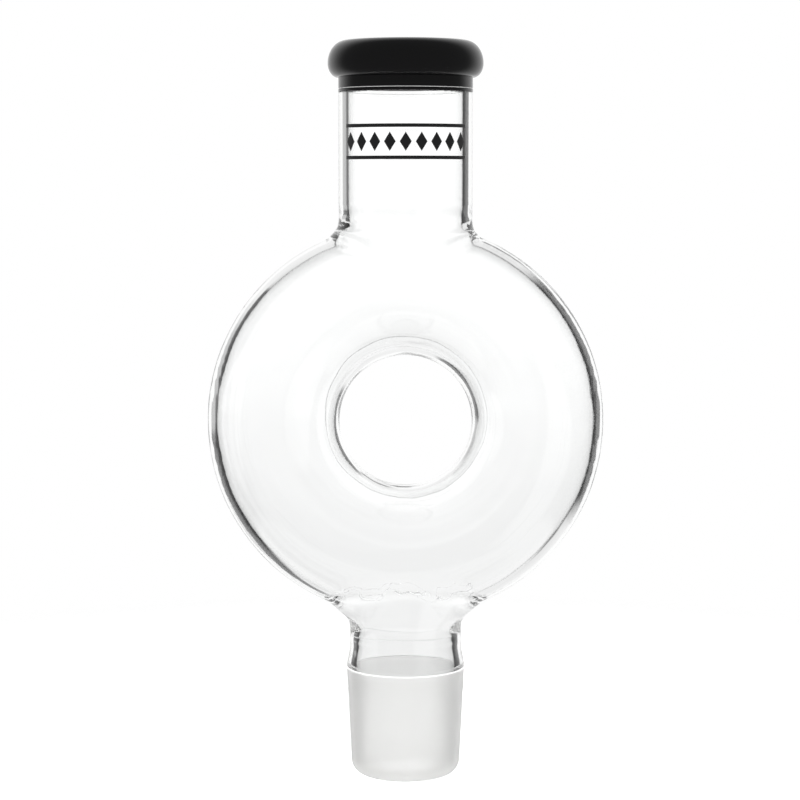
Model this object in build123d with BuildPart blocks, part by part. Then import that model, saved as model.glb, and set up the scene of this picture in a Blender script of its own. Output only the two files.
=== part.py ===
from build123d import *
import os

# Clear glass ring-chamber adapter: a rolled black mouth and collar, a clear neck, a hollow ring
# with an open centre, and a male ground joint with a rounded tip.
# Frame: millimetres, +Z up, origin on the axis at the bottom of the tip. The flat front of the
# ring faces -Y and its hole runs along Y.

# ---- Driving dimensions (mm) ----

# Ground joint
joint_large_diameter = 45.0
joint_taper = 0.1
ground_length = 36.0
tip_round = 5.5
tip_floor_thickness = 2.8
tip_land = 2.0
tip_edge_round = 1.0

# Shank between the joint and the ring
shoulder_step = 1.2
shoulder_height = 4.5
shank_height = 9.8
shank_wall = 3.4
lower_seal_height = 3.5
lower_seal_bulge = 0.35

# Tubing of the neck and the ring
neck_diameter = 50.5
neck_wall = 3.75
ring_tube_shrink = 0.5
ring_face_flat = 3.0
ring_wall = 3.5

# Ring chamber
ring_throat_radius = 25.0
throat_band_width = 8.0
neck_collar_height = 6.4
shank_collar_height = 6.2
neck_fillet = 3.0
neck_bore_fillet = 5.0
shank_fillet = 5.0
shank_bore_fillet = 4.0

# Neck
neck_seal_height = 3.0
neck_seal_bulge = 0.25
neck_length = 39.1

# Black mouth
seam_height = 1.5
groove_round = 0.35
collar_height = 4.0
roll_overhang = 3.95
roll_belly_height = 5.3
roll_height = 13.7
roll_edge_round = 1.1

# Printed enamel mark: a row of lozenges between two rules
print_thickness = 0.15
mark_drop = 18.6
mark_height = 13.0
mark_sweep = 120.0
rule_height = 1.3
lozenge_count = 9
lozenge_width = 4.4
lozenge_height = 7.0

# ---- Derived sizes ----

cone_large_radius = joint_large_diameter / 2
cone_small_radius = cone_large_radius - ground_length * joint_taper / 2
shank_radius = cone_large_radius - shoulder_step
shank_bore = shank_radius - shank_wall

neck_radius = neck_diameter / 2
neck_bore = neck_radius - neck_wall
ring_tube_width = neck_diameter - ring_tube_shrink
ring_tube_depth = ring_tube_width + ring_face_flat
ring_mid_radius = ring_throat_radius + ring_tube_width / 2
ring_outer_radius = ring_throat_radius + ring_tube_width
roll_radius = neck_radius + roll_overhang

# Heights where one piece meets the next, stacked from the bottom
ground_bottom = tip_round
ground_line = ground_bottom + ground_length
lower_seal_bottom = ground_line + shank_height
chamber_bottom = lower_seal_bottom + lower_seal_height
ring_centre = chamber_bottom + shank_collar_height + ring_outer_radius
chamber_top = ring_centre + ring_outer_radius + neck_collar_height
neck_bottom = chamber_top + neck_seal_height
neck_top = neck_bottom + neck_length
collar_bottom = neck_top + seam_height
roll_bottom = collar_bottom + collar_height
mark_middle = neck_top - mark_drop
mark_bottom = mark_middle - mark_height / 2

ring_axis = Axis((0, 0, ring_centre), (0, 1, 0))
ring_section_plane = Plane.XY.offset(ring_centre)


def save(piece, name):
    """Label a finished piece and write its STEP file."""
    piece.part.label = name
    export_step(piece.part, f"parts/{name}.step")


def make_tube(bottom, height, radius, bore):
    """Plain round tube standing on the axis."""
    with BuildPart() as tube:
        with BuildSketch(Plane.XY.offset(bottom)):
            Circle(radius)
            Circle(bore, mode=Mode.SUBTRACT)
        extrude(amount=height)
    return tube


def make_seal(bottom, height, radius, bore, bulge):
    """Glass-to-glass seal: a short tube whose outside swells a little at mid height."""
    top = bottom + height
    with BuildPart() as seal:
        with BuildSketch(Plane.XZ):
            with BuildLine():
                ThreePointArc((radius, bottom), (radius + bulge, bottom + height / 2), (radius, top))
                Polyline((radius, top), (bore, top), (bore, bottom), (radius, bottom))
            make_face()
        revolve(axis=Axis.Z)
    return seal


def outer_edges(part, radius):
    """Circular edges of the given radius round the axis."""
    circles = part.edges().filter_by(GeomType.CIRCLE)
    return circles.filter_by(lambda edge: abs(edge.radius - radius) < 0.01)


def junction_edges(part, above):
    """Curves where a tube runs into the ring, on the upper or the lower side of its centre."""
    curves = part.edges().filter_by(GeomType.BSPLINE)
    return curves.filter_by(lambda edge: (edge.center().Z > ring_centre) == above)


os.makedirs("parts", exist_ok=True)

# ---- Ground joint ----

# Tip: the end of the joint, rounded outside and tooled inward to a smaller mouth
tip_mid_radius = cone_small_radius - tip_round
tip_mouth_radius = tip_mid_radius - tip_land
with BuildPart() as rounded_tip:
    with BuildSketch(Plane.XZ):
        with BuildLine():
            CenterArc((tip_mid_radius, tip_round), tip_round, -90, 90)
            Line((cone_small_radius, tip_round), (shank_bore, tip_round))
            EllipticalCenterArc(
                (tip_mid_radius, tip_round),
                shank_bore - tip_mid_radius,
                tip_round - tip_floor_thickness,
                start_angle=-90,
                arc_size=90,
            )
            Polyline(
                (tip_mid_radius, tip_floor_thickness),
                (tip_mouth_radius, tip_floor_thickness),
                (tip_mouth_radius, 0),
                (tip_mid_radius, 0),
            )
        make_face()
    revolve(axis=Axis.Z)
    fillet(outer_edges(rounded_tip, tip_mouth_radius), tip_edge_round)
save(rounded_tip, "rounded_tip")

# Ground zone: the frosted cone that seats in a female joint
with BuildPart() as ground_cone:
    with BuildSketch(Plane.XZ):
        with BuildLine():
            Polyline(
                (shank_bore, ground_bottom),
                (cone_small_radius, ground_bottom),
                (cone_large_radius, ground_line),
                (shank_bore, ground_line),
                close=True,
            )
        make_face()
    revolve(axis=Axis.Z)
save(ground_cone, "ground_cone")

# Shank: clear tube that swells into the ground zone through a smooth shoulder
shoulder_top = ground_line + shoulder_height
with BuildPart() as joint_shank:
    with BuildSketch(Plane.XZ):
        with BuildLine():
            Spline(
                (cone_large_radius, ground_line),
                (shank_radius, shoulder_top),
                tangents=[(-joint_taper, 1), (0, 1)],
            )
            Polyline(
                (shank_radius, shoulder_top),
                (shank_radius, lower_seal_bottom),
                (shank_bore, lower_seal_bottom),
                (shank_bore, ground_line),
                (cone_large_radius, ground_line),
            )
        make_face()
    revolve(axis=Axis.Z)
save(joint_shank, "joint_shank")

lower_seal = make_seal(
    lower_seal_bottom, lower_seal_height, shank_radius, shank_bore, lower_seal_bulge
)
save(lower_seal, "lower_seal")

# ---- Ring chamber ----


def make_ring_body(wall, neck_round, shank_round):
    """Ring with its neck and shank collars, as a solid drawn in by one wall from the outside."""
    with BuildPart() as body:
        with BuildSketch(Plane.XY.offset(chamber_bottom)):
            Circle(shank_radius - (shank_wall if wall else 0))
        extrude(amount=ring_centre - ring_mid_radius - chamber_bottom)
        with BuildSketch(Plane.XY.offset(ring_centre + ring_mid_radius)):
            Circle(neck_radius - (neck_wall if wall else 0))
        extrude(amount=chamber_top - ring_centre - ring_mid_radius)
        with BuildSketch(ring_section_plane):
            with Locations((ring_mid_radius, 0)):
                SlotOverall(ring_tube_depth - 2 * wall, ring_tube_width - 2 * wall, rotation=90)
        revolve(axis=ring_axis)
        fillet(junction_edges(body, above=True), neck_round)
        fillet(junction_edges(body, above=False), shank_round)
    return body


ring_outside = make_ring_body(0, neck_fillet, shank_fillet)
ring_hollow = make_ring_body(ring_wall, neck_bore_fillet, shank_bore_fillet)

# Seal band round the hole, where the front and back of the bulb were pressed together and fused
with BuildPart() as throat_band:
    with BuildSketch(ring_section_plane):
        with Locations((ring_throat_radius + ring_wall / 2, 0)):
            Rectangle(ring_wall, throat_band_width)
        with Locations((ring_mid_radius, 0)):
            SlotOverall(ring_tube_depth, ring_tube_width, rotation=90, mode=Mode.INTERSECT)
    revolve(axis=ring_axis)
    add(ring_hollow.part, mode=Mode.SUBTRACT)
save(throat_band, "throat_band")

# Walls of the ring, drawn out into short collars at the neck and at the shank: a front and a back
# half, fused along the middle plane
for name, kept_side in (("ring_front", Keep.TOP), ("ring_back", Keep.BOTTOM)):
    with BuildPart() as ring_half:
        add(ring_outside.part)
        add(ring_hollow.part, mode=Mode.SUBTRACT)
        add(throat_band.part, mode=Mode.SUBTRACT)
        split(bisect_by=Plane.XZ, keep=kept_side)
    save(ring_half, name)

# ---- Neck ----

neck_seal = make_seal(chamber_top, neck_seal_height, neck_radius, neck_bore, neck_seal_bulge)
save(neck_seal, "neck_seal")

neck_tube = make_tube(neck_bottom, neck_length, neck_radius, neck_bore)
save(neck_tube, "neck_tube")

# Enamel mark fired on the front of the neck
half_sweep = mark_sweep / 2
lozenge_step = mark_sweep / lozenge_count
print_radius = neck_radius + print_thickness
with BuildPart() as neck_mark:
    for index in range(lozenge_count):
        turn = -half_sweep + (index + 0.5) * lozenge_step
        outward = Vector(0, -1, 0).rotate(Axis.Z, turn)
        across = Vector(1, 0, 0).rotate(Axis.Z, turn)
        with BuildSketch(Plane(origin=(0, 0, mark_middle), x_dir=across, z_dir=outward)):
            Polygon(
                (-lozenge_width / 2, 0),
                (0, -lozenge_height / 2),
                (lozenge_width / 2, 0),
                (0, lozenge_height / 2),
            )
        extrude(amount=print_radius + print_thickness)
    for rule_bottom in (mark_bottom, mark_bottom + mark_height - rule_height):
        with BuildSketch(Plane.XY.offset(rule_bottom)):
            with BuildLine():
                rule = CenterArc((0, 0), print_radius, -90 - half_sweep, mark_sweep)
                Line(rule @ 0, (0, 0))
                Line((0, 0), rule @ 1)
            make_face()
        extrude(amount=rule_height)
    with BuildSketch(Plane.XY.offset(mark_bottom)):
        Circle(print_radius)
    extrude(amount=mark_height, mode=Mode.INTERSECT)
    with BuildSketch(Plane.XY.offset(mark_bottom)):
        Circle(neck_radius)
    extrude(amount=mark_height, mode=Mode.SUBTRACT)
save(neck_mark, "neck_mark")

# ---- Black mouth ----

# Seam bead: the end of the black tube, fused to the clear neck below it
collar_seam = make_tube(neck_top, seam_height, neck_radius, neck_bore)
with collar_seam:
    fillet(outer_edges(collar_seam, neck_radius), groove_round)
save(collar_seam, "collar_seam")

# Collar: straight black tube, with a fine groove where it meets the seam bead
black_collar = make_tube(collar_bottom, collar_height, neck_radius, neck_bore)
with black_collar:
    fillet(outer_edges(black_collar, neck_radius).sort_by(Axis.Z)[0], groove_round)
save(black_collar, "black_collar")

# Lip: the top of the black tube rolled outward into a thick round bead
belly = roll_bottom + roll_belly_height
mouth_top = roll_bottom + roll_height
crown_radius = neck_bore + roll_edge_round
with BuildPart() as lip_roll:
    with BuildSketch(Plane.XZ):
        with BuildLine():
            EllipticalCenterArc(
                (neck_radius, belly), roll_overhang, roll_belly_height, start_angle=-90, arc_size=90
            )
            EllipticalCenterArc(
                (crown_radius, belly),
                roll_radius - crown_radius,
                mouth_top - belly,
                start_angle=0,
                arc_size=90,
            )
            CenterArc((crown_radius, mouth_top - roll_edge_round), roll_edge_round, 90, 90)
            Polyline(
                (neck_bore, mouth_top - roll_edge_round),
                (neck_bore, roll_bottom),
                (neck_radius, roll_bottom),
            )
        make_face()
    revolve(axis=Axis.Z)
save(lip_roll, "lip_roll")
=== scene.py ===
"""Looks of a clear glass ring-chamber adapter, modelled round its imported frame, in metres."""

import logging
import math
from dataclasses import dataclass
from enum import Enum
from typing import Any, Callable, Iterable, Optional

import bpy
from bpy.types import Material, MeshPolygon, Node, NodeSocket, NodeTree, Object, Texture
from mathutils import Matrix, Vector


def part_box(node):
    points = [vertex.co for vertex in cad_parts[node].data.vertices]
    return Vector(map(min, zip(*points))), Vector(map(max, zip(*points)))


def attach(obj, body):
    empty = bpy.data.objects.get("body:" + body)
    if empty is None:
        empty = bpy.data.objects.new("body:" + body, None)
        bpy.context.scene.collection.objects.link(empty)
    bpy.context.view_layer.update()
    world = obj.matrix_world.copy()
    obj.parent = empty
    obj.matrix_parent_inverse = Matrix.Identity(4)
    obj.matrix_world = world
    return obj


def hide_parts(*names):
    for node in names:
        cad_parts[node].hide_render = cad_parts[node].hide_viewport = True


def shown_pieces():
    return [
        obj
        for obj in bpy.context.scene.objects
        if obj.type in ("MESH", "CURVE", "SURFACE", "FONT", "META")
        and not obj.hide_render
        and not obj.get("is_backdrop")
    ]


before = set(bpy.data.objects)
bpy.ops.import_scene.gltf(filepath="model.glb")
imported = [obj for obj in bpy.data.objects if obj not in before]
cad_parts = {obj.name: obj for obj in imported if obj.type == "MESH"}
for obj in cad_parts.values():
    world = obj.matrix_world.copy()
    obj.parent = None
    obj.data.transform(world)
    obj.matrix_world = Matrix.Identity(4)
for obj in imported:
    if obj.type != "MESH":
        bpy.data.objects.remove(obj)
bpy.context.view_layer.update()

LOG = logging.getLogger("ring_adapter")
MM = 0.001
DEGREES = 180 / math.pi
QUARTER_TURN = math.pi / 2
BODY = "root"
GLASS_IOR = 1.474
ENAMEL_IOR = 1.5
SIGHT_SLOPE = 0.087
WHITE = (1.0, 1.0, 1.0, 1.0)

TURN_STEPS = 256
ROD_STEPS = 192
SEAL_STEPS = 12
EASE_STEPS = 16
BORE_STEPS = 6
SHARP_DEGREES = 40.0
ROUNDED_DEGREES = 60.0
MERGE_GAP = 0.002 * MM
LEVEL_GAP = 0.005 * MM
LEVEL, STEEP, UPWARD = 0.99, 0.5, 0.05
SMOOTH_FACTOR = 0.5

FUSED_INDEX = 1
CLEAR_BORE_INDEX = 2

Colour = tuple[float, float, float, float]
Point = tuple[float, float, float]
Pair = tuple[float, float]
Window = tuple[float, float, float]


class Slot(Enum):
    """Material slot names of the record; the modelled pieces don't use them."""

    CLEAR = "clear_glass"
    FROSTED = "frosted_glass"
    BLACK = "black_glass"


# -------- node helpers


class Wire:
    """A node socket that takes part in arithmetic, each operation adding a Math node."""

    def __init__(self, bench: "NodeBench", socket: NodeSocket) -> None:
        """Wraps one output socket of a bench's tree."""
        self.bench = bench
        self.socket = socket

    def _math(self, operation: str, *values: Any) -> "Wire":
        """Result of a Math node on wires or numbers."""
        node = self.bench.add("Math", {"operation": operation}, *values)
        return Wire(self.bench, node.outputs[0])

    def __add__(self, other: Any) -> "Wire":
        """Sum."""
        return self._math("ADD", self, other)

    __radd__ = __add__

    def __sub__(self, other: Any) -> "Wire":
        """Difference."""
        return self._math("SUBTRACT", self, other)

    def __rsub__(self, other: Any) -> "Wire":
        """Difference, from a number."""
        return self._math("SUBTRACT", other, self)

    def __mul__(self, other: Any) -> "Wire":
        """Product."""
        return self._math("MULTIPLY", self, other)

    __rmul__ = __mul__

    def magnitude(self) -> "Wire":
        """Size without its sign."""
        return self._math("ABSOLUTE", self)

    def at_least(self, other: Any) -> "Wire":
        """Larger of the two."""
        return self._math("MAXIMUM", self, other)

    def angle_from(self, other: "Wire") -> "Wire":
        """Two-argument arc tangent, in radians, with this wire as the opposite side."""
        return self._math("ARCTAN2", self, other)

    def arc_cosine(self) -> "Wire":
        """Angle whose cosine this is, in radians."""
        return self._math("ARCCOSINE", self)

    def above(self, limit: float) -> "Wire":
        """1 where the value is above a limit and 0 elsewhere."""
        return self._math("GREATER_THAN", self, limit)

    def band(self, middle: float, half_width: float, soft: float) -> "Wire":
        """A smooth window.

        Args:
            middle: Value at the window's middle.
            half_width: Distance from the middle to where the window has fallen to a half.
            soft: Width of each edge.

        Returns:
            1 inside the window and 0 outside it.
        """
        gap = (self - middle).magnitude()
        return gap.fall(half_width - soft / 2, half_width + soft / 2)

    def fall(self, start: float, stop: float) -> "Wire":
        """A smooth step from 1 to 0.

        Args:
            start: Value on whose side, away from stop, the result is 1.
            stop: Value from which it is 0.

        Returns:
            The step.
        """
        node = self.bench.add(
            "MapRange",
            {"interpolation_type": "SMOOTHSTEP"},
            Value=self,
            From_Min=start,
            From_Max=stop,
            To_Min=1.0,
            To_Max=0.0,
        )
        return self.bench.wire(node, "Result")


class NodeBench:
    """Adds nodes to one tree and joins them."""

    def __init__(self, tree: NodeTree) -> None:
        """Empties the tree."""
        self.tree = tree
        tree.nodes.clear()

    def feed(self, socket: NodeSocket, value: Any) -> None:
        """Sets an input socket.

        Args:
            socket: The input.
            value: A wire, a node whose first output is meant, or a plain value.
        """
        if isinstance(value, Wire):
            self.tree.links.new(value.socket, socket)
        elif isinstance(value, Node):
            self.tree.links.new(value.outputs[0], socket)
        else:
            socket.default_value = value

    def add(
        self, kind: str, settings: Optional[dict[str, Any]] = None, *ordered: Any, **named: Any
    ) -> Node:
        """Adds one node.

        Args:
            kind: Node type, without its ShaderNode prefix.
            settings: Properties set before the sockets.
            ordered: What the first sockets get, in their order.
            named: What other sockets get, by name, with _ for a space.

        Returns:
            The node.
        """
        node = self.tree.nodes.new("ShaderNode" + kind)
        for key, value in (settings or {}).items():
            setattr(node, key, value)
        for index, value in enumerate(ordered):
            self.feed(node.inputs[index], value)
        for key, value in named.items():
            self.feed(node.inputs[key.replace("_", " ")], value)
        return node

    def wire(self, node: Node, output: str) -> Wire:
        """Output of a node, by name."""
        return Wire(self, node.outputs[output])

    def place(self) -> Wire:
        """Object coordinates, the row's own frame."""
        return self.wire(self.add("TexCoord"), "Object")

    def noise(self, scale: float, detail: float) -> Wire:
        """Noise pattern, about 0.5 on average, by cells per metre and octaves."""
        node = self.add("TexNoise", Vector=self.place(), Scale=scale, Detail=detail)
        return self.wire(node, "Fac")

    def bump(self, height: Wire, strength: float, distance: float) -> Wire:
        """Normal bumped by a pattern, by share of the effect and height of a full step."""
        node = self.add("Bump", Height=height, Strength=strength, Distance=distance)
        return self.wire(node, "Normal")

    def toward(self, direction: Wire, compass: float, height: float) -> Wire:
        """Angle between a direction and a fixed one, in degrees.

        Args:
            direction: Unit vector.
            compass: Fixed direction's angle from straight back towards the right, in degrees.
            height: Its angle above the horizon, in degrees.

        Returns:
            The angle.
        """
        turn, rise = math.radians(compass), math.radians(height)
        fixed = (
            math.sin(turn) * math.cos(rise),
            math.cos(turn) * math.cos(rise),
            math.sin(rise),
        )
        node = self.add("VectorMath", {"operation": "DOT_PRODUCT"}, direction, fixed)
        return self.wire(node, "Value").arc_cosine() * DEGREES

    def finish(self, shader: Node, kind: str = "OutputMaterial") -> None:
        """Joins a shader to the tree's output."""
        self.add(kind, Surface=shader)


# -------- finishes


@dataclass(frozen=True)
class Finish:
    """A named material, to which each kind of finish adds its own shader."""

    name: str

    def shade(self, bench: NodeBench) -> Node:
        """Adds the finish's nodes.

        Args:
            bench: Bench of the new material.

        Returns:
            The shader.
        """
        raise NotImplementedError

    def make(self) -> Material:
        """Builds the material.

        Returns:
            The material.
        """
        material = bpy.data.materials.new(self.name)
        material.use_nodes = True
        bench = NodeBench(material.node_tree)
        bench.finish(self.shade(bench))
        return material


@dataclass(frozen=True)
class FusedFace(Finish):
    """Face inside a seal, where two pieces are one glass and light goes straight on."""

    name: str = "fused_face"

    def shade(self, bench: NodeBench) -> Node:
        """Adds a shader that isn't seen."""
        return bench.add("BsdfTransparent")


@dataclass(frozen=True)
class Surface(Finish):
    """Glass or enamel with a fine relief, and a gloss that may be uneven.

    A pattern is cells per metre and octaves. The relief is the share of its effect and the
    height of a full step.
    """

    colour: Colour
    roughness: float
    grain: Pair
    relief: Pair
    unevenness: float = 0.0
    cloud: Pair = (60.0, 2.0)
    ior: float = GLASS_IOR
    specular: float = 0.5
    transmission: float = 0.0
    glow: float = 0.0

    def shade(self, bench: NodeBench) -> Node:
        """Adds the surface's nodes.

        Args:
            bench: Bench of the new material.

        Returns:
            The shader.
        """
        roughness = self.roughness
        if self.unevenness:
            roughness = bench.noise(*self.cloud) * self.unevenness + roughness
        return bench.add(
            "BsdfPrincipled",
            Base_Color=self.colour,
            Roughness=roughness,
            IOR=self.ior,
            Specular_IOR_Level=self.specular,
            Transmission_Weight=self.transmission,
            Emission_Color=WHITE,
            Emission_Strength=self.glow,
            Normal=bench.bump(bench.noise(*self.grain), *self.relief),
        )


@dataclass(frozen=True)
class ClearGlass(Surface):
    """Polished borosilicate glass with the faint unevenness of lamp work."""

    name: str = "clear_borosilicate"
    colour: Colour = (0.995, 0.998, 0.997, 1.0)
    roughness: float = 0.0
    grain: Pair = (38.0, 1.0)
    relief: Pair = (1.0, 0.02 * MM)
    transmission: float = 1.0


@dataclass(frozen=True)
class GroundGlass(Surface):
    """Fine ground surface of the joint: white, matt and translucent."""

    name: str = "ground_glass"
    colour: Colour = (0.995, 0.995, 0.985, 1.0)
    roughness: float = 0.51
    grain: Pair = (2600.0, 2.0)
    relief: Pair = (0.3, 0.01 * MM)
    unevenness: float = 0.08
    transmission: float = 0.7


@dataclass(frozen=True)
class PaintedHighlightEdge(Surface):
    """Narrow fire-polished edge painted near white with a faint glow of its own: a painted
    highlight.
    """

    name: str = "painted_highlight_edge"
    # Painted highlight: near-white colour where the real edge shows only the light it catches.
    colour: Colour = (0.97, 0.97, 0.965, 1.0)
    roughness: float = 0.25
    grain: Pair = (300.0, 2.0)
    relief: Pair = (0.2, 0.02 * MM)
    unevenness: float = 0.2
    cloud: Pair = (300.0, 2.0)
    # Painted glow: the edge gives off a little light though it is no lamp.
    glow: float = 0.2


@dataclass(frozen=True)
class BlackGlass(Surface):
    """Opaque black glass, fire polished."""

    name: str = "black_glass"
    colour: Colour = (0.0042, 0.0042, 0.0045, 1.0)
    roughness: float = 0.12
    grain: Pair = (220.0, 2.0)
    relief: Pair = (0.25, 0.05 * MM)
    unevenness: float = 0.08
    cloud: Pair = (45.0, 3.0)
    ior: float = ENAMEL_IOR
    specular: float = 0.3


@dataclass(frozen=True)
class Enamel(Surface):
    """Black enamel fired onto glass."""

    name: str = "black_enamel"
    colour: Colour = (0.008, 0.008, 0.009, 1.0)
    roughness: float = 0.25
    grain: Pair = (900.0, 3.0)
    relief: Pair = (0.3, 0.02 * MM)
    unevenness: float = 0.2
    cloud: Pair = (900.0, 3.0)
    ior: float = ENAMEL_IOR


@dataclass(frozen=True)
class PaleFloor(Finish):
    """Pale floor that fades into the white field round it, by distance squared."""

    name: str = "pale_floor"
    colour: Colour = (0.9, 0.9, 0.9, 1.0)
    glow: float = 0.6
    fade: Pair = (0.02, 0.16)

    def shade(self, bench: NodeBench) -> Node:
        """Adds the floor's shader.

        Args:
            bench: Bench of the new material.

        Returns:
            The shader.
        """
        place = bench.add("SeparateXYZ", Vector=bench.place())
        x, y = bench.wire(place, "X"), bench.wire(place, "Y")
        near = (x * x + y * y).fall(*self.fade)
        diffuse = bench.add("BsdfDiffuse", Color=self.colour)
        glow = bench.add("Emission", Color=WHITE, Strength=self.glow)
        lit = bench.add("AddShader", None, diffuse, glow)
        return bench.add("MixShader", None, near, bench.add("BsdfTransparent"), lit)


# -------- modelling helpers


def deselect() -> None:
    """Leaves object mode with nothing selected."""
    if bpy.context.object and bpy.context.object.mode != "OBJECT":
        bpy.ops.object.mode_set(mode="OBJECT")
    bpy.ops.object.select_all(action="DESELECT")


def activate(*pieces: Object) -> None:
    """Selects some objects and nothing else.

    Args:
        pieces: The objects, the first of which becomes the active one.
    """
    deselect()
    for piece in pieces:
        piece.select_set(True)
    bpy.context.view_layer.objects.active = pieces[0]


def apply_modifier(piece: Object, kind: str, **settings: Any) -> None:
    """Adds a modifier and applies it at once.

    Args:
        piece: Object to change.
        kind: Modifier type.
        settings: The modifier's properties.
    """
    activate(piece)
    modifier = piece.modifiers.new(kind.title(), kind)
    for key, value in settings.items():
        setattr(modifier, key, value)
    bpy.ops.object.modifier_apply(modifier=modifier.name)


def apply_in_group(
    piece: Object, share: Callable[[Vector], float], kind: str, **settings: Any
) -> None:
    """Applies a modifier more or less strongly from place to place.

    Args:
        piece: Object to change, its place in its mesh.
        share: Takes a vertex place and gives the modifier's share there, none if not above 0.
        kind: Modifier type.
        settings: The modifier's other properties.
    """
    group = piece.vertex_groups.new(name="share")
    for vertex in piece.data.vertices:
        weight = share(vertex.co)
        if weight > 0:
            group.add([vertex.index], min(1.0, weight), "REPLACE")
    apply_modifier(piece, kind, vertex_group="share", **settings)
    piece.vertex_groups.remove(piece.vertex_groups["share"])


def select_vertices(piece: Object, test: Callable[[Vector], bool]) -> None:
    """Selects, in edit mode, the vertices that a test picks.

    Args:
        piece: Object to select in, at the origin or wherever it was made.
        test: Takes a vertex place in the row frame.
    """
    activate(piece)
    bpy.ops.object.mode_set(mode="EDIT")
    bpy.ops.mesh.select_mode(type="VERT")
    bpy.ops.mesh.select_all(action="DESELECT")
    bpy.ops.object.mode_set(mode="OBJECT")
    world = piece.matrix_world
    for vertex in piece.data.vertices:
        vertex.select = test(world @ vertex.co)
    bpy.ops.object.mode_set(mode="EDIT")


def put_place_in_mesh() -> None:
    """Applies the selected objects' place, turn and size to their meshes."""
    bpy.ops.object.transform_apply(location=True, rotation=True, scale=True)


def settle(piece: Object, name: str, sharp_degrees: float = SHARP_DEGREES) -> Object:
    """Names a modelled object, puts its place in its mesh and shades it smooth.

    Args:
        piece: Object to finish.
        name: Its name.
        sharp_degrees: Edges sharper than this stay crisp.

    Returns:
        The same object.
    """
    activate(piece)
    put_place_in_mesh()
    bpy.ops.object.shade_smooth_by_angle(angle=math.radians(sharp_degrees))
    piece.name = piece.data.name = name
    return piece


def dress(
    piece: Object, nodes: Iterable[str], finishes: Iterable[Material]
) -> None:
    """Gives a piece its finishes and its place in the frame.

    Args:
        piece: Finished object.
        nodes: CAD nodes that it stands for.
        finishes: Its materials, in slot order.
    """
    piece.data.materials.clear()
    for finish in finishes:
        piece.data.materials.append(finish)
    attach(piece, BODY)
    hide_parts(*nodes)
    LOG.info("%s: %d faces", piece.name, len(piece.data.polygons))


def mark_faces(piece: Object, index: int, test: Callable[[MeshPolygon], bool]) -> None:
    """Puts the faces that a test picks in one material slot.

    Args:
        piece: Finished and dressed piece.
        index: Material slot.
        test: Takes a face.
    """
    for face in piece.data.polygons:
        if test(face):
            face.material_index = index


def fuse(piece: Object, *heights: float) -> None:
    """Makes fused faces of a piece's level faces.

    Args:
        piece: Finished and dressed piece.
        heights: Heights of the faces, where the piece meets its neighbours.
    """
    for height in heights:
        mark_faces(
            piece,
            FUSED_INDEX,
            lambda face: abs(face.center.z - height) < LEVEL_GAP and abs(face.normal.z) > LEVEL,
        )


def ease(share: float) -> float:
    """Slow start and slow end on the way from 1 down to 0."""
    return 0.5 + 0.5 * math.cos(math.pi * share)


class Outline:
    """Closed outline of a turned wall, as radius and height pairs in order."""

    def __init__(self, radius: float, height: float) -> None:
        """Starts at one point."""
        self.points: list[Pair] = [(radius, height)]

    def line(self, radius: float, height: float, steps: int = 1) -> "Outline":
        """Goes straight to a point.

        Args:
            radius: Its radius.
            height: Its height.
            steps: Equal stretches that the line is cut into.

        Returns:
            The outline.
        """
        from_radius, from_height = self.points[-1]
        for index in range(1, steps + 1):
            share = index / steps
            across = from_radius + (radius - from_radius) * share
            self.points.append((across, from_height + (height - from_height) * share))
        return self

    def arc(
        self, radius_reach: float, height_reach: float, start: float, stop: float, steps: int
    ) -> "Outline":
        """Goes along an elliptical arc that begins at the last point.

        Args:
            radius_reach: Half axis along the radius.
            height_reach: Half axis along the height.
            start: First angle in degrees, 0 outward and 90 up.
            stop: Last angle in degrees.
            steps: Stretches of the arc.

        Returns:
            The outline.
        """
        from_radius, from_height = self.points[-1]
        first = math.radians(start)
        centre_radius = from_radius - radius_reach * math.cos(first)
        centre_height = from_height - height_reach * math.sin(first)
        for index in range(1, steps + 1):
            angle = math.radians(start + (stop - start) * index / steps)
            across = centre_radius + radius_reach * math.cos(angle)
            self.points.append((across, centre_height + height_reach * math.sin(angle)))
        return self


def raise_circle(points: list[Pair], extrude: Callable[..., Any]) -> None:
    """Extrudes the selected circle, in edit mode, from one radius and height to the next.

    Args:
        points: Radius and height pairs, the first being the circle's own.
        extrude: Operator that extrudes and moves.
    """
    for (radius, height), (next_radius, next_height) in zip(points, points[1:]):
        extrude(TRANSFORM_OT_translate={"value": (0, 0, next_height - height)})
        grow = next_radius / radius
        bpy.ops.transform.resize(value=(grow, grow, 1), center_override=(0, 0, next_height))
    bpy.ops.mesh.select_all(action="SELECT")


def turn(outline: Outline, name: str, sharp_degrees: float = SHARP_DEGREES) -> Object:
    """Makes a closed wall by raising a circle from one outline point to the next.

    Args:
        outline: Closed outline; the last point is joined to the first.
        name: Name of the piece.
        sharp_degrees: Edges sharper than this stay crisp.

    Returns:
        The piece.
    """
    deselect()
    radius, height = outline.points[0]
    bpy.ops.mesh.primitive_circle_add(
        vertices=TURN_STEPS, radius=radius, location=(0, 0, height)
    )
    piece = bpy.context.object
    bpy.ops.object.mode_set(mode="EDIT")
    bpy.ops.mesh.select_all(action="SELECT")
    raise_circle(outline.points + outline.points[:1], bpy.ops.mesh.extrude_edges_move)
    bpy.ops.mesh.remove_doubles(threshold=MERGE_GAP)
    bpy.ops.mesh.normals_make_consistent(inside=False)
    bpy.ops.object.mode_set(mode="OBJECT")
    return settle(piece, name, sharp_degrees)


def rings_at(radius: float, *heights: float) -> list[Pair]:
    """Rings of one radius, at some heights in millimetres."""
    return [(radius, height * MM) for height in heights]


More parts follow.
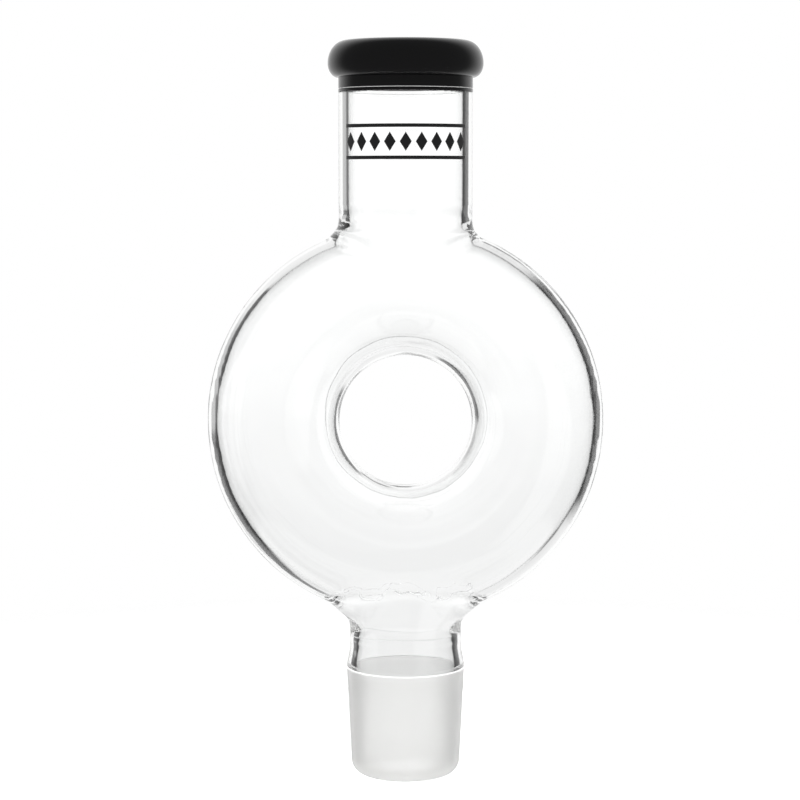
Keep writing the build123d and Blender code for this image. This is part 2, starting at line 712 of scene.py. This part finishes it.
def stack(rings: list[Pair]) -> Object:
    """Makes a solid round rod by raising a filled circle from ring to ring.

    Args:
        rings: Radius and height of each ring, in order.

    Returns:
        The rod.
    """
    deselect()
    radius, height = rings[0]
    bpy.ops.mesh.primitive_circle_add(
        vertices=ROD_STEPS, radius=radius, fill_type="NGON", location=(0, 0, height)
    )
    rod = bpy.context.object
    bpy.ops.object.mode_set(mode="EDIT")
    bpy.ops.mesh.select_mode(type="FACE")
    bpy.ops.mesh.select_all(action="SELECT")
    raise_circle(rings, bpy.ops.mesh.extrude_region_move)
    bpy.ops.mesh.normals_make_consistent(inside=False)
    bpy.ops.object.mode_set(mode="OBJECT")
    return rod


def clouds(name: str, size: float, **settings: Any) -> Texture:
    """Cloud pattern that displaces a mesh.

    Args:
        name: Name of the pattern.
        size: Size of its clouds.
        settings: Its other properties.

    Returns:
        The pattern.
    """
    pattern = bpy.data.textures.new(name, "CLOUDS")
    pattern.noise_scale = size
    for key, value in settings.items():
        setattr(pattern, key, value)
    return pattern


def thread(
    name: str,
    radius: float,
    thickness: float,
    place: Point,
    tilt: float,
    stretch: Point = (1.0, 1.0, 1.0),
    waver: float = 0.0,
    waver_size: float = 12 * MM,
) -> Object:
    """Makes a thin round glass thread, as a tool or a flame leaves along a weld.

    Args:
        name: Name of the piece.
        radius: Radius of its circle.
        thickness: Thickness of the thread.
        place: Centre of the circle.
        tilt: Turn about the X axis; 0 lays the circle level.
        stretch: Stretch of the circle along each axis.
        waver: How far it wavers from the circle.
        waver_size: Size of the wavers.

    Returns:
        The piece.
    """
    deselect()
    bpy.ops.mesh.primitive_torus_add(
        major_radius=radius,
        minor_radius=thickness / 2,
        major_segments=360,
        minor_segments=12,
        location=place,
        rotation=(tilt, 0, 0),
    )
    piece = bpy.context.object
    bpy.ops.transform.resize(value=stretch, center_override=place)
    activate(piece)
    put_place_in_mesh()
    if waver:
        pattern = clouds(name + "_waver", waver_size, cloud_type="COLOR")
        apply_modifier(
            piece, "DISPLACE", texture=pattern, strength=waver, direction="RGB_TO_XYZ"
        )
    return settle(piece, name)


def seal_ring(
    box: tuple[Vector, Vector], name: str, bore_radius: float, bulge: float, seen_bulge: float
) -> Object:
    """Makes the ring of a seal, which swells a little at mid height.

    Args:
        box: Low and high corner of the seal's CAD node.
        name: Name of the piece.
        bore_radius: Radius of its bore.
        bulge: How far the CAD node bulges beyond the tube.
        seen_bulge: How far this ring does.

    Returns:
        The piece.
    """
    low, high = box
    radius = high.x - bulge
    height = high.z - low.z
    outline = Outline(bore_radius, low.z)
    outline.line(radius, low.z, steps=2)
    for step in range(1, SEAL_STEPS + 1):
        share = step / SEAL_STEPS
        swell = seen_bulge * math.sin(math.pi * share) ** 2
        outline.line(radius + swell, low.z + height * share)
    outline.line(bore_radius, high.z, steps=2)
    outline.line(bore_radius, low.z + height / BORE_STEPS, steps=BORE_STEPS - 1)
    return turn(outline, name)


# -------- sub-assemblies


@dataclass
class Finishes:
    """The materials that the pieces share."""

    clear: Material
    fused: Material
    ground: Material
    # Painted highlight: the near-white glowing edge, for the bead's groove and the ground line.
    edge: Material
    black: Material
    enamel: Material


@dataclass
class Mouth:
    """Black top of the adapter: rolled lip, collar and the bead fused to the neck.

    The bead's groove has its upper edge painted near white as a painted highlight, and its
    lower edge rises towards the back.
    """

    overhang: float = 3.95 * MM
    belly: float = 5.3 * MM
    edge_round: float = 1.1 * MM
    groove: float = 0.35 * MM
    # Share of the groove, from its top, that is painted as a highlight.
    painted_highlight_share: float = 0.5
    back_rise: float = 0.075
    bore_radius: float = 21.5 * MM

    def lip(self) -> Object:
        """Lip rolled outward into a thick round bead.

        Returns:
            The piece.
        """
        low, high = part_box("lip_roll")
        neck_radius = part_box("black_collar")[1].x
        height = high.z - low.z
        crown = self.bore_radius + self.edge_round
        outline = Outline(self.bore_radius, low.z)
        outline.line(neck_radius, low.z, steps=3)
        outline.arc(self.overhang, self.belly, -90, 0, steps=14)
        outline.arc(high.x - crown, height - self.belly, 0, 90, steps=24)
        outline.arc(self.edge_round, self.edge_round, 90, 180, steps=8)
        outline.line(self.bore_radius, low.z + MM, steps=5)
        return turn(outline, "lip_roll_glass", ROUNDED_DEGREES)

    def band(self, node: str, name: str, round_top: bool) -> Object:
        """Short tube with one or both outer edges rounded.

        Args:
            node: CAD node that gives its height and radius.
            name: Name of the piece.
            round_top: Whether the upper edge is rounded as well as the lower.

        Returns:
            The piece.
        """
        low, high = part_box(node)
        radius, r = high.x, self.groove
        outline = Outline(self.bore_radius, low.z)
        outline.line(radius - r, low.z, steps=3).arc(r, r, -90, 0, steps=6)
        if round_top:
            outline.line(radius, high.z - r, steps=5).arc(r, r, 0, 90, steps=6)
        else:
            outline.line(radius, high.z, steps=3)
        outline.line(self.bore_radius, high.z, steps=3)
        last = low.z + (high.z - low.z) / BORE_STEPS
        outline.line(self.bore_radius, last, steps=BORE_STEPS - 1)
        return turn(outline, name, ROUNDED_DEGREES)

    def build(self, finishes: Finishes) -> None:
        """Builds and dresses the three pieces.

        Args:
            finishes: The shared materials.
        """
        dress(self.lip(), ["lip_roll"], [finishes.black])
        collar = self.band("black_collar", "black_collar_glass", round_top=False)
        dress(collar, ["black_collar"], [finishes.black])
        bead = self.band("collar_seam", "collar_seam_bead", round_top=True)
        bead_finishes = [finishes.black, finishes.clear, finishes.edge]
        dress(bead, ["collar_seam"], bead_finishes)
        low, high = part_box("collar_seam")
        # Painted highlight: the upward-facing faces at the top of the groove take the
        # near-white glowing edge finish.
        painted_highlight_from = high.z - self.painted_highlight_share * self.groove
        for face in bead.data.polygons:
            edge = low.z + self.back_rise * face.center.y
            if face.center.y > 0 and face.center.z < edge:
                face.material_index = bead_finishes.index(finishes.clear)
            elif face.center.z > painted_highlight_from and face.normal.z > UPWARD:
                face.material_index = bead_finishes.index(finishes.edge)


@dataclass
class Neck:
    """Clear neck with its printed mark and the seal to the ring."""

    bore_radius: float = 21.5 * MM
    seal_bulge: float = 0.25 * MM
    seen_bulge: float = 0.03 * MM

    def tube(self) -> Object:
        """Plain clear tube.

        Returns:
            The piece.
        """
        low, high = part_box("neck_tube")
        outline = Outline(self.bore_radius, low.z)
        outline.line(high.x, low.z, steps=2).line(high.x, high.z, steps=40)
        outline.line(self.bore_radius, high.z, steps=2)
        outline.line(self.bore_radius, low.z + MM, steps=40)
        return turn(outline, "neck_tube_glass")

    def build(self, finishes: Finishes) -> None:
        """Builds and dresses the pieces.

        Args:
            finishes: The shared materials.
        """
        tube_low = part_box("neck_tube")[0].z
        seal_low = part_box("neck_seal")[0].z
        glass = [finishes.clear, finishes.fused]
        tube = self.tube()
        dress(tube, ["neck_tube"], glass)
        fuse(tube, tube_low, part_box("neck_tube")[1].z)
        seal = seal_ring(
            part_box("neck_seal"),
            "neck_seal_glass",
            self.bore_radius,
            self.seal_bulge,
            self.seen_bulge,
        )
        dress(seal, ["neck_seal"], glass)
        fuse(seal, tube_low, seal_low)
        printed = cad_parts["neck_mark"]
        printed.data.materials.clear()
        printed.data.materials.append(finishes.enamel)


@dataclass
class Weld:
    """Round rod that opens a collar into the ring, and how far its glass has flowed.

    The rod's rings are radius and height pairs from the seal inward. The lean is one ring's
    height and how far that ring reaches out to the left and to the right, as the hand-made
    flare does. The glass flows by some passes of smoothing round the level, as far as the
    reach and less and less towards its end.
    """

    rings: list[Pair]
    level: float
    radius: float
    passes: int
    lean: Point
    reach: float = 9 * MM
    steepness: float = 2.5

    def share(self, place: Vector) -> float:
        """How much the glass has flowed at a place.

        Args:
            place: The place.

        Returns:
            The share, 0 or less beyond the reach.
        """
        off_tube = abs(place.xy.length - self.radius) / self.reach
        off_level = abs(place.z - self.level) / self.reach
        return self.steepness * (1.0 - max(off_tube, off_level))

    def rod(self) -> Object:
        """The rod, leaning out at its rings.

        Returns:
            The rod.
        """
        rod = stack(self.rings)
        level, left, right = self.lean
        for lean, way in ((left, -1), (right, 1)):
            select_vertices(
                rod,
                lambda place: abs(place.z - level) < 0.1 * MM and place.x * way > 0.01 * MM,
            )
            bpy.ops.transform.resize(
                value=(1 + lean / self.radius, 1, 1), center_override=(0, 0, level)
            )
        bpy.ops.object.mode_set(mode="OBJECT")
        return rod


@dataclass
class RingChamber:
    """Hollow ring with its short collars to the neck and the shank."""

    wall: float = 3.5 * MM
    throat_wall: float = 2.5 * MM
    face_flat: float = 3.0 * MM
    neck_bore: float = 21.5 * MM
    neck_bead: float = 0.5 * MM
    shank_bore: float = 17.9 * MM
    seal_bulge: float = 0.35 * MM
    voxel: float = 1.22 * MM
    smoothing: int = 9
    swell_height: float = 0.35 * MM
    outer_swell: float = 31 * MM
    inner_swell: float = 37 * MM
    still_below_neck: float = 2 * MM
    neck_fade: float = 10 * MM
    shank_fade: float = 6 * MM
    shank_share: float = 0.3

    def __post_init__(self) -> None:
        """Reads the ring's place from the frame."""
        low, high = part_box("ring_front")
        self.bottom, self.top = low.z, high.z
        self.rim = high.x
        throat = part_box("throat_band")
        self.throat = throat[1].x - self.wall
        self.centre = (throat[0].z + throat[1].z) / 2
        self.neck_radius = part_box("neck_tube")[1].x
        self.shank_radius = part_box("lower_seal")[1].x - self.seal_bulge

    def outer_welds(self) -> list[Weld]:
        """Outer skin's welds.

        Returns:
            The weld at the neck and the one at the shank.
        """
        neck, shank = self.neck_radius, self.shank_radius
        return [
            Weld(
                rings_at(neck, 226, 209.5, 204.5, 192),
                level=207 * MM,
                radius=neck,
                passes=13,
                lean=(204.5 * MM, 4 * MM, 2 * MM),
            ),
            Weld(
                rings_at(shank, 46, 59.5, 67.5, 74),
                level=65 * MM,
                radius=shank,
                passes=9,
                lean=(67.5 * MM, 9 * MM, 9 * MM),
            ),
        ]

    def inner_welds(self) -> list[Weld]:
        """Inner skin's welds; the one at the neck has a low bead round its bore.

        Returns:
            The weld at the neck and the one at the shank.
        """
        neck, shank = self.neck_bore, self.shank_bore
        bead = rings_at(neck - self.neck_bead, 211)
        return [
            Weld(
                rings_at(neck, 226, 215.8) + bead + rings_at(neck, 205.5, 192),
                level=206.5 * MM,
                radius=neck,
                passes=7,
                lean=(205.5 * MM, 4.5 * MM, 3 * MM),
            ),
            Weld(
                rings_at(shank, 46, 58, 67, 74),
                level=65 * MM,
                radius=shank,
                passes=74,
                lean=(67 * MM, 9 * MM, 9 * MM),
            ),
        ]

    def swell_share(self, place: Vector) -> float:
        """How much a skin swells at a place.

        Args:
            place: The place.

        Returns:
            The share: 0 at the neck seal and less than 1 at the shank's.
        """
        below = (self.top - self.still_below_neck - place.z) / self.neck_fade
        above = (place.z - self.bottom) / self.shank_fade
        return max(0.0, min(1.0, below, self.shank_share + above))

    def skin(self, rim: float, throat: float, welds: list[Weld], swell: float) -> Object:
        """One closed skin of the ring and its collars, cut open at both seals.

        Args:
            rim: Outer radius of the skin.
            throat: Radius of its hole.
            welds: The two welds.
            swell: Size of the slow swells of hand-blown glass.

        Returns:
            The skin.
        """
        deselect()
        bpy.ops.mesh.primitive_torus_add(
            major_radius=(rim + throat) / 2,
            minor_radius=(rim - throat) / 2,
            major_segments=256,
            minor_segments=128,
            location=(0, 0, self.centre),
            rotation=(QUARTER_TURN, 0, 0),
        )
        ring = bpy.context.object
        for side in (-1, 1):
            select_vertices(ring, lambda place: place.y * side > 0.1 * MM)
            bpy.ops.transform.translate(value=(0, side * self.face_flat / 2, 0))
        bpy.ops.object.mode_set(mode="OBJECT")
        activate(ring, *[weld.rod() for weld in welds])
        bpy.ops.object.join()
        put_place_in_mesh()
        apply_modifier(ring, "REMESH", mode="VOXEL", voxel_size=self.voxel, adaptivity=0.0)
        apply_modifier(ring, "SMOOTH", factor=SMOOTH_FACTOR, iterations=self.smoothing)
        for weld in welds:
            apply_in_group(
                ring, weld.share, "SMOOTH", factor=SMOOTH_FACTOR, iterations=weld.passes
            )
        apply_in_group(
            ring,
            self.swell_share,
            "DISPLACE",
            texture=clouds("swells", swell),
            strength=self.swell_height,
        )
        activate(ring)
        bpy.ops.object.mode_set(mode="EDIT")
        for height, clear_side in ((self.top, "clear_outer"), (self.bottom, "clear_inner")):
            bpy.ops.mesh.select_all(action="SELECT")
            bpy.ops.mesh.bisect(
                plane_co=(0, 0, height), plane_no=(0, 0, 1), **{clear_side: True}
            )
        bpy.ops.object.mode_set(mode="OBJECT")
        return ring

    def shell(self) -> Object:
        """Wall of the ring: both skins, joined across the glass at the two seals.

        Returns:
            The piece.
        """
        outer = self.skin(self.rim, self.throat, self.outer_welds(), self.outer_swell)
        inner = self.skin(
            self.rim - self.wall,
            self.throat + self.throat_wall,
            self.inner_welds(),
            self.inner_swell,
        )
        activate(inner)
        bpy.ops.object.mode_set(mode="EDIT")
        bpy.ops.mesh.select_all(action="SELECT")
        bpy.ops.mesh.flip_normals()
        bpy.ops.object.mode_set(mode="OBJECT")
        activate(outer, inner)
        bpy.ops.object.join()
        for height in (self.top, self.bottom):
            select_vertices(outer, lambda place: abs(place.z - height) < 0.001 * MM)
            bpy.ops.mesh.select_mode(type="EDGE")
            bpy.ops.mesh.bridge_edge_loops()
        bpy.ops.object.mode_set(mode="OBJECT")
        return settle(outer, "ring_chamber_glass")

    def build(self, finishes: Finishes) -> None:
        """Builds and dresses the ring and the threads along its welds.

        Args:
            finishes: The shared materials.
        """
        ring = self.shell()
        nodes = ["ring_front", "ring_back", "throat_band"]
        dress(ring, nodes, [finishes.clear, finishes.fused])
        fuse(ring, self.top, self.bottom)
        threads = (
            thread(
                "throat_weld_line",
                radius=29.4 * MM,
                thickness=0.5 * MM,
                place=(0, 15.1 * MM, self.centre),
                tilt=QUARTER_TURN,
                waver=1.2 * MM,
                waver_size=14 * MM,
            ),
            thread(
                "flare_weld_line",
                radius=24 * MM,
                thickness=0.4 * MM,
                place=(2 * MM, 0, 70 * MM),
                tilt=math.radians(-9),
                stretch=(1.0, 0.62, 1.0),
                waver=8 * MM,
                waver_size=8 * MM,
            ),
            thread(
                "seal_weld_line",
                radius=self.shank_bore - 0.1 * MM,
                thickness=0.4 * MM,
                place=(0, 0, 53.2 * MM),
                tilt=math.radians(-5),
                waver=0.8 * MM,
                waver_size=12 * MM,
            ),
        )
        for line in threads:
            dress(line, [], [finishes.clear])


@dataclass
class GroundJoint:
    """Shank, ground cone and rounded tip below the ring.

    The shank's shoulder swells out to the ground line, and its bore with it. Inside the cone
    the bore eases back over a longer run.
    """

    bore_radius: float = 17.9 * MM
    bore_swell: float = 1.0 * MM
    bore_run: float = 1.3
    seal_bulge: float = 0.35 * MM
    seen_bulge: float = 0.1 * MM
    seen_shoulder: float = 8.5 * MM
    line_radius: float = 22.5 * MM
    line_thickness: float = 0.6 * MM
    tip_floor: float = 2.8 * MM
    tip_land: float = 2.0 * MM
    tip_edge: float = 1.0 * MM

    def shank(self) -> Object:
        """Clear tube that swells into the ground zone.

        Returns:
            The piece.
        """
        low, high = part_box("joint_shank")
        tube_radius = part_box("lower_seal")[1].x - self.seal_bulge
        shoulder = [
            (ease(step / EASE_STEPS), low.z + self.seen_shoulder * step / EASE_STEPS)
            for step in range(1, EASE_STEPS + 1)
        ]
        outline = Outline(self.bore_radius + self.bore_swell, low.z)
        outline.line(high.x, low.z, steps=2)
        for swell, height in shoulder:
            outline.line(tube_radius + (high.x - tube_radius) * swell, height)
        outline.line(tube_radius, high.z, steps=3)
        outline.line(self.bore_radius, high.z, steps=2)
        for swell, height in reversed(shoulder):
            outline.line(self.bore_radius + self.bore_swell * swell, height)
        return turn(outline, "joint_shank_glass")

    def cone(self) -> Object:
        """Ground cone with its bore.

        Returns:
            The piece.
        """
        low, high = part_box("ground_cone")
        small_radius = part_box("rounded_tip")[1].x
        outline = Outline(self.bore_radius, low.z)
        outline.line(small_radius, low.z, steps=2)
        outline.line(high.x, high.z, steps=36)
        outline.line(self.bore_radius + self.bore_swell, high.z, steps=2)
        for step in range(1, EASE_STEPS + 1):
            swell = ease(step / EASE_STEPS)
            height = high.z - self.bore_run * self.seen_shoulder * step / EASE_STEPS
            outline.line(self.bore_radius + self.bore_swell * swell, height)
        outline.line(self.bore_radius, low.z + MM, steps=24)
        return turn(outline, "ground_cone_glass")

    def tip(self) -> Object:
        """Rounded end, tooled inward.

        Returns:
            The piece.
        """
        low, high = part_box("rounded_tip")
        height = high.z - low.z
        middle = high.x - height
        mouth = middle - self.tip_land
        edge = self.tip_edge
        outline = Outline(self.bore_radius, high.z)
        outline.arc(self.bore_radius - middle, height - self.tip_floor, 0, -90, steps=10)
        outline.line(mouth + edge, self.tip_floor, steps=2)
        outline.arc(edge, edge, 90, 180, steps=6)
        outline.line(mouth, edge)
        outline.arc(edge, edge, 180, 270, steps=6)
        outline.line(middle, 0, steps=2)
        outline.arc(height, height, -90, 0, steps=20)
        return turn(outline, "rounded_tip_glass")

    def build(self, finishes: Finishes) -> None:
        """Builds and dresses the pieces.

        Args:
            finishes: The shared materials.
        """
        seal_low, seal_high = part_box("lower_seal")
        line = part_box("ground_cone")[1].z
        cone_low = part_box("ground_cone")[0].z
        glass = [finishes.clear, finishes.fused]
        seal = seal_ring(
            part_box("lower_seal"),
            "lower_seal_glass",
            self.bore_radius,
            self.seal_bulge,
            self.seen_bulge,
        )
        dress(seal, ["lower_seal"], glass)
        fuse(seal, seal_low.z, seal_high.z)
        shank = self.shank()
        dress(shank, ["joint_shank"], glass)
        fuse(shank, seal_low.z, line)
        # The ground line is a real edge of the ground zone; its near-white glowing finish is a
        # painted highlight.
        edge = thread(
            "ground_line", self.line_radius, self.line_thickness, place=(0, 0, line), tilt=0.0
        )
        dress(edge, [], [finishes.edge])
        cone = self.cone()
        ground = [finishes.ground, finishes.fused]
        dress(cone, ["ground_cone"], ground + [finishes.clear])
        fuse(cone, line, cone_low)
        bore = self.bore_radius + self.bore_swell + 0.1 * MM
        mark_faces(
            cone,
            CLEAR_BORE_INDEX,
            lambda face: face.center.xy.length < bore and abs(face.normal.z) < STEEP,
        )
        tip = self.tip()
        dress(tip, ["rounded_tip"], ground)
        fuse(tip, cone_low)


# -------- studio


@dataclass
class Sky:
    """Where a ray goes, as unit vector and as angles in degrees.

    The angles are those off four fixed directions, and the turn round the line of sight,
    counted from the right.
    """

    x: Wire
    y: Wire
    z: Wire
    off_back: Wire
    off_left: Wire
    off_corner: Wire
    off_behind: Wire
    around: Wire

    @classmethod
    def on(cls, bench: NodeBench) -> "Sky":
        """Reads the direction on a world's bench.

        Args:
            bench: The bench.

        Returns:
            The direction and its angles.
        """
        direction = bench.wire(bench.add("TexCoord"), "Generated")
        axes = bench.add("SeparateXYZ", Vector=direction)
        x, y, z = (bench.wire(axes, name) for name in "XYZ")
        return cls(
            x,
            y,
            z,
            off_back=bench.toward(direction, 0, -5),
            off_left=bench.toward(direction, -90, -3),
            off_corner=bench.toward(direction, -45, -25),
            off_behind=bench.toward(direction, 135, -15),
            around=(z + SIGHT_SLOPE * y).angle_from(x) * DEGREES,
        )


@dataclass
class Field:
    """White surroundings, with dark ones beside them that give the glass its edges.

    Light that has crossed both walls of a tube comes from a wide bright field. Light that was
    turned back inside one wall comes from bright panels with a dark room round them. A pair
    of numbers is where an edge starts and stops to fall, and three numbers are a window's
    middle, half width and softness, all in degrees or as a share of the unit vector.
    """

    back_panel: Pair = (24, 27.5)
    left_panel: Pair = (20, 27)
    behind_panel: Pair = (22, 30)
    floor_panel: Pair = (-0.66, -0.56)
    floor_light: float = 0.9
    room_light: float = 0.85
    room_end: Pair = (47, 54)
    room_least: float = 0.03
    beyond_room: float = 0.05
    dark: float = 0.82
    dark_right: Window = (8, 39, 12)
    dark_low_left: Window = (-143, 30, 12)
    grey: float = 0.42
    grey_left: Pair = (160, 140)
    dim: float = 0.3
    dim_turn: Pair = (150, 120)
    dim_rim: Pair = (44, 40)
    patch: float = 0.8
    patch_turn: Window = (152, 15, 8)
    patch_rim: Pair = (41, 38.5)
    streak: float = 0.9
    streak_turn: Window = (62, 14, 8)
    streak_rim: Window = (21, 4.5, 3)
    wide_back: Pair = (60, 75)
    wide_left: Pair = (50, 65)
    wide_corner: Pair = (45, 60)
    wide_behind: Pair = (50, 65)
    front_light: float = 0.8
    front: Pair = (0.1, 0.4)
    beyond_wide: float = 0.1
    level_light: float = 0.95
    low_gain: float = 0.2
    low: Pair = (0.03, -0.2)
    high_loss: float = 0.17
    high: Pair = (0.3, 0.12)
    left_loss: float = 0.85
    left_rim: Window = (44, 9, 6)
    left_side: Pair = (0.1, -0.1)
    mirror_least: float = 0.22
    mirror: Pair = (0.75, 0.2)

    def turned(self, sky: Sky) -> Wire:
        """What light sees that was turned back inside one wall.

        Args:
            sky: Where the light comes from.

        Returns:
            The brightness.
        """
        panels = sky.off_back.fall(*self.back_panel)
        panels = panels.at_least(sky.off_left.fall(*self.left_panel))
        panels = panels.at_least(sky.off_behind.fall(*self.behind_panel))
        dark_right = sky.around.band(*self.dark_right)
        dark_low_left = sky.around.band(*self.dark_low_left)
        aside = sky.around.magnitude()
        dim = aside.fall(*self.dim_turn) * sky.off_back.fall(*self.dim_rim)
        patch = sky.around.band(*self.patch_turn) * sky.off_back.fall(*self.patch_rim)
        streak = sky.around.band(*self.streak_turn) * sky.off_back.band(*self.streak_rim)
        room = self.room_light - self.dark * dark_right - self.dark * dark_low_left
        room = room - self.grey * aside.fall(*self.grey_left)
        room = (room - self.dim * dim - self.patch * patch).at_least(self.room_least)
        near_room = sky.off_back.fall(*self.room_end)
        room = room * (self.beyond_room + (1.0 - self.beyond_room) * near_room)
        floor = self.floor_light * sky.z.fall(*self.floor_panel)
        return panels.at_least(room).at_least(floor) * (1.0 - self.streak * streak)

    def through(self, sky: Sky) -> Wire:
        """What light sees that has crossed both walls.

        Args:
            sky: Where the light comes from.

        Returns:
            The brightness.
        """
        wide = sky.off_back.fall(*self.wide_back).at_least(sky.off_left.fall(*self.wide_left))
        wide = wide.at_least(sky.off_corner.fall(*self.wide_corner))
        wide = wide.at_least(sky.off_behind.fall(*self.wide_behind))
        wide = wide.at_least(self.front_light * sky.y.fall(*self.front))
        rise = self.level_light + self.low_gain * sky.z.fall(*self.low)
        rise = rise - self.high_loss * sky.z.fall(*self.high)
        left = sky.off_back.band(*self.left_rim) * sky.x.fall(*self.left_side)
        spread = self.beyond_wide + (1.0 - self.beyond_wide) * wide
        return rise * spread * (1.0 - self.left_loss * left)

    def build(self) -> None:
        """Sets up the world. The eye and matt surfaces see it plain white."""
        world = bpy.data.worlds.new("studio_field")
        bpy.context.scene.world = world
        world.use_nodes = True
        bench = NodeBench(world.node_tree)
        sky = Sky.on(bench)
        path = bench.add("LightPath")
        depth = bench.wire(path, "Transmission Depth")
        entered, crossed = depth.above(0.5), depth.above(3.5)
        turned = self.turned(sky)
        mirrored = self.mirror_least + (1.0 - self.mirror_least) * sky.y.fall(*self.mirror)
        inside = turned + (self.through(sky) - turned) * crossed
        light = mirrored + (inside - mirrored) * entered
        seen = bench.wire(path, "Is Camera Ray")
        plain = bench.wire(path, "Diffuse Depth").above(0.5).at_least(seen)
        strength = plain + (1.0 - plain) * light
        background = bench.add("Background", Color=WHITE, Strength=strength)
        bench.finish(background, "OutputWorld")


@dataclass
class Studio:
    """Pale floor, bright field behind the object, and the camera."""

    lens: float = 106.2
    sensor: float = 36.0
    distance: float = 0.892
    camera_height: float = 0.2264
    camera_side: float = -0.0021
    tilt_degrees: float = 5.3
    floor_size: float = 3.0
    floor_gap: float = 0.02 * MM

    def floor(self) -> None:
        """Lays the floor just below the object."""
        deselect()
        bpy.ops.mesh.primitive_plane_add(size=self.floor_size, location=(0, 0, -self.floor_gap))
        floor = bpy.context.object
        floor.name = "studio_floor"
        floor.data.materials.append(PaleFloor().make())
        floor.visible_transmission = False
        floor.visible_glossy = False
        floor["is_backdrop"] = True

    def camera(self) -> None:
        """Puts the camera a little above the ring, looking slightly down."""
        deselect()
        bpy.ops.object.camera_add(
            location=(self.camera_side, -self.distance, self.camera_height),
            rotation=(math.radians(90 - self.tilt_degrees), 0, 0),
        )
        camera = bpy.context.object
        camera.name = "studio_camera"
        camera.data.lens = self.lens
        camera.data.sensor_width = self.sensor
        bpy.context.scene.camera = camera

    def build(self) -> None:
        """Sets up the studio, with enough bounces for light in thick glass."""
        self.floor()
        Field().build()
        self.camera()
        scene = bpy.context.scene
        scene.view_settings.view_transform = "Standard"
        scene.cycles.max_bounces = 32
        scene.cycles.diffuse_bounces = 24
        scene.cycles.transmission_bounces = 24
        scene.cycles.glossy_bounces = 12
        scene.cycles.transparent_max_bounces = 48


def main() -> None:
    """Builds the object and its studio."""
    logging.basicConfig(level=logging.INFO, format="%(name)s: %(message)s")
    finishes = Finishes(
        clear=ClearGlass().make(),
        fused=FusedFace().make(),
        ground=GroundGlass().make(),
        edge=PaintedHighlightEdge().make(),
        black=BlackGlass().make(),
        enamel=Enamel().make(),
    )
    Mouth().build(finishes)
    Neck().build(finishes)
    RingChamber().build(finishes)
    GroundJoint().build(finishes)
    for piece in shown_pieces():
        piece.visible_shadow = piece.data.materials[0] in (finishes.black, finishes.ground)
    Studio().build()


if __name__ == "__main__":
    main()
